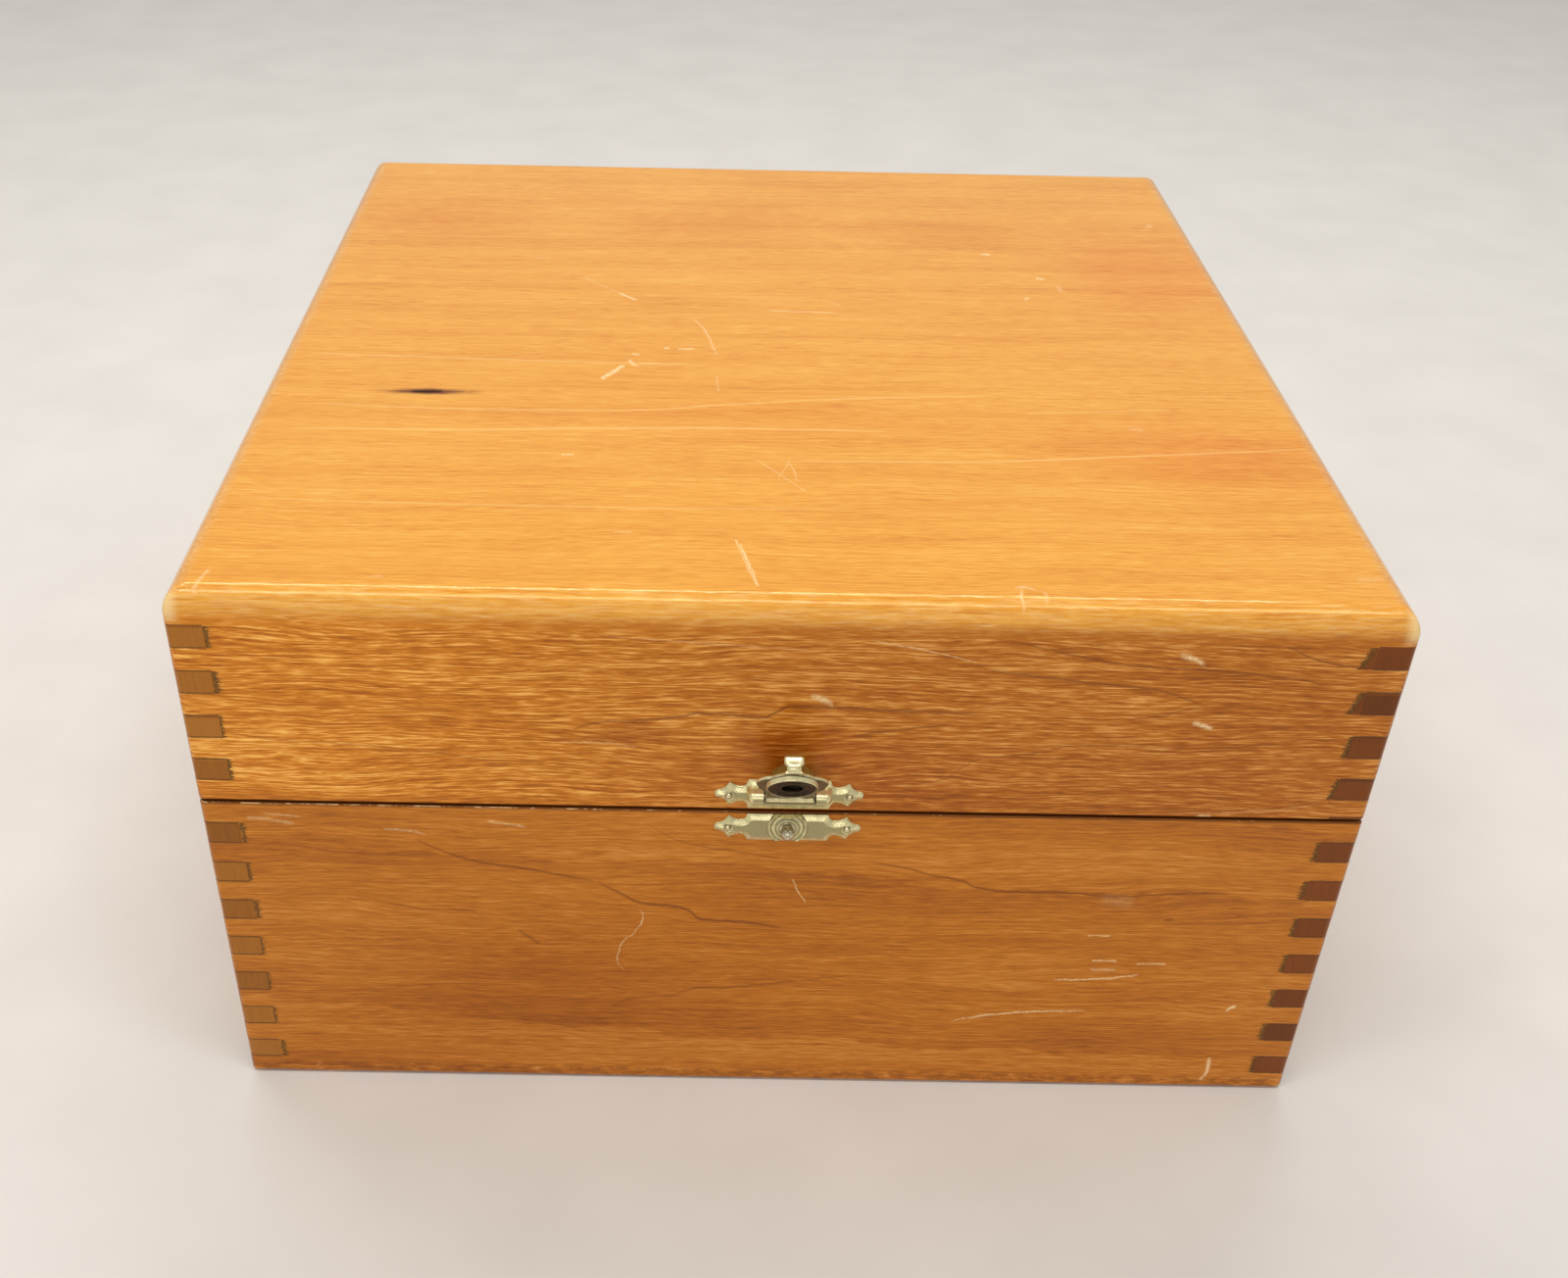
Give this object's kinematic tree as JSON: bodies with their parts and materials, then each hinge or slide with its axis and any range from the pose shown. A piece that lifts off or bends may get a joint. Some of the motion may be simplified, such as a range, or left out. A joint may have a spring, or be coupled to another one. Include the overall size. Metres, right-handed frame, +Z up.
{
  "type": "floppy disk storage box",
  "caption": "Wooden storage box for floppy disks, with a rear-hinged lid, box-jointed corners, a centre partition and a snap hasp on the front.",
  "frame": {"origin": "middle of the flat underside", "axes": "+Z up, -Y towards the front with the hasp, +X to the right seen from the front"},
  "size_m": [0.298, 0.3351, 0.1615],
  "materials": {
    "cross_board_wood": "amber oiled and lacquered hardwood, grain along the board",
    "side_board_wood": "amber oiled and lacquered hardwood, dark end grain at the fingers",
    "top_board_wood": "satin amber lacquer, worn and scratched",
    "floor_wood": "plain thin board",
    "partition_wood": "plain thin board",
    "latch_brass": "pale brass plate, tarnished",
    "stud_brass": "polished by use",
    "nail_brass": "pale brass plate",
    "socket_bronze": "dark bronzed steel",
    "spring_steel": "spring wire",
    "hinge_brass": "brass plate, lightly tarnished"
  },
  "bodies": {
    "base": {"base_front_wall": "cross_board_wood", "base_back_wall": "cross_board_wood", "base_left_wall": "side_board_wood", "base_right_wall": "side_board_wood", "floor_panel": "floor_wood", "centre_partition": "partition_wood", "latch_lower_plate": "latch_brass", "lower_plate_nails": "nail_brass", "snap_stud": "stud_brass", "left_hinge_base_leaf": "hinge_brass", "right_hinge_base_leaf": "hinge_brass", "left_hinge_pin": "hinge_brass", "right_hinge_pin": "hinge_brass", "base_hinge_screws": "hinge_brass"},
    "lid": {"lid_front_wall": "cross_board_wood", "lid_back_wall": "cross_board_wood", "lid_left_wall": "side_board_wood", "lid_right_wall": "side_board_wood", "top_panel": "top_board_wood", "latch_upper_plate": "latch_brass", "upper_plate_nails": "nail_brass", "hasp_pin": "latch_brass", "left_hinge_lid_leaf": "hinge_brass", "right_hinge_lid_leaf": "hinge_brass", "lid_hinge_screws": "hinge_brass"},
    "hasp": {"hasp_leaf": "latch_brass", "snap_socket": "socket_bronze", "socket_spring": "spring_steel"}
  },
  "joints": [
    {"name": "lid_hinge", "type": "hinge", "parent": "base", "child": "lid", "pos_m": [0, 0.1602, 0.0994], "axis": [-1, 0, 0], "range_deg": [0, 180]},
    {"name": "hasp_pivot", "type": "hinge", "parent": "lid", "child": "hasp", "pos_m": [0.0015, -0.1619, 0.1065], "axis": [1, 0, 0], "range_deg": [-25, 147.5]}
  ]
}
